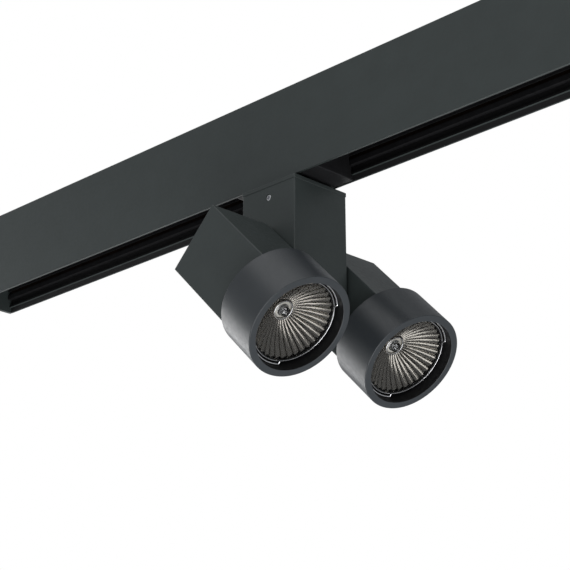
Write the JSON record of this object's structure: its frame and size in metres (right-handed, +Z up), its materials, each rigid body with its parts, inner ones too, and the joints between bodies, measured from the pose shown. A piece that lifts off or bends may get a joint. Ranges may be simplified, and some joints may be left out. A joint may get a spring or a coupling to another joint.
{
  "type": "track spotlight",
  "caption": "Track spotlight with two square-to-round tilting heads on a swivelling square column, hung by a sliding adaptor in a deep ceiling rail.",
  "frame": {"origin": "centre of the rail's top face, which lies against the ceiling", "axes": "+X along the rail towards the side the heads point to at rest, +Z up to the ceiling, -Y the front head's side"},
  "size_m": [0.6088, 0.154, 0.1886],
  "materials": {
    "powder_coat": "fine-textured anthracite powder coat, satin",
    "black_plastic": "fine moulded grain",
    "plated_steel": "zinc plated",
    "brass": "machined",
    "copper": "drawn copper strip",
    "ceramic": "unglazed steatite",
    "lamp_glass": "clear",
    "reflector_coating": "fluted vapour-coated glass",
    "spring_wire": "bright spring wire",
    "silicone_lead": "matt silicone sleeve"
  },
  "bodies": {
    "rail": {"rail_profile": "powder_coat", "rail_web": "plated_steel", "track_liner": "black_plastic", "front_conductors": "copper", "rear_conductors": "copper", "feed_end_cap": "powder_coat", "blind_end_cap": "powder_coat", "end_cap_screws": "plated_steel", "feed_terminal": "black_plastic"},
    "adaptor": {"adaptor_housing": "black_plastic", "adaptor_cover": "black_plastic", "cover_screws": "plated_steel", "contact_fingers": "brass", "swivel_stem": "plated_steel", "stem_spacer": "black_plastic", "thrust_washer": "plated_steel", "stem_nut": "plated_steel"},
    "lock_cam": {"lock_cam": "plated_steel"},
    "column": {"column_shell": "powder_coat", "column_cap": "powder_coat", "column_base": "powder_coat", "base_screws": "plated_steel", "swivel_collar": "brass", "swivel_set_screw": "plated_steel", "pivot_bracket": "plated_steel", "terminal_block": "ceramic", "column_leads": "silicone_lead"},
    "front_head": {"front_block": "powder_coat", "front_barrel": "powder_coat", "front_rear_cover": "powder_coat", "front_cover_screws": "plated_steel", "front_pivot_tube": "plated_steel", "front_pivot_washer": "black_plastic", "front_spring_washer": "plated_steel", "front_pivot_nut": "plated_steel", "front_lampholder": "ceramic", "front_holder_bracket": "plated_steel", "front_lamp_base": "ceramic", "front_reflector": "reflector_coating", "front_lamp_glass": "lamp_glass", "front_capsule": "lamp_glass", "front_clip_ring": "spring_wire", "front_lamp_leads": "silicone_lead"},
    "rear_head": {"rear_block": "powder_coat", "rear_barrel": "powder_coat", "rear_rear_cover": "powder_coat", "rear_cover_screws": "plated_steel", "rear_pivot_tube": "plated_steel", "rear_pivot_washer": "black_plastic", "rear_spring_washer": "plated_steel", "rear_pivot_nut": "plated_steel", "rear_lampholder": "ceramic", "rear_holder_bracket": "plated_steel", "rear_lamp_base": "ceramic", "rear_reflector": "reflector_coating", "rear_lamp_glass": "lamp_glass", "rear_capsule": "lamp_glass", "rear_clip_ring": "spring_wire", "rear_lamp_leads": "silicone_lead"}
  },
  "joints": [
    {"name": "adaptor_slide", "type": "slide", "parent": "rail", "child": "adaptor", "axis": [1, 0, 0], "range_m": [-0.26, 0.21]},
    {"name": "cam_turn", "type": "hinge", "parent": "adaptor", "child": "lock_cam", "pos_m": [-0.026, -0.005, -0.055], "axis": [0, 0, 1], "range_deg": [0, 90]},
    {"name": "column_swivel", "type": "hinge", "parent": "adaptor", "child": "column", "pos_m": [0, 0, -0.07], "axis": [0, 0, 1], "range_deg": [-175, 175]},
    {"name": "front_head_tilt", "type": "hinge", "parent": "column", "child": "front_head", "pos_m": [0, -0.0455, -0.117], "axis": [0, 1, 0], "range_deg": [-45.5, 134.5]},
    {"name": "rear_head_tilt", "type": "hinge", "parent": "column", "child": "rear_head", "pos_m": [0, 0.0455, -0.117], "axis": [0, 1, 0], "range_deg": [-45.5, 134.5]}
  ]
}
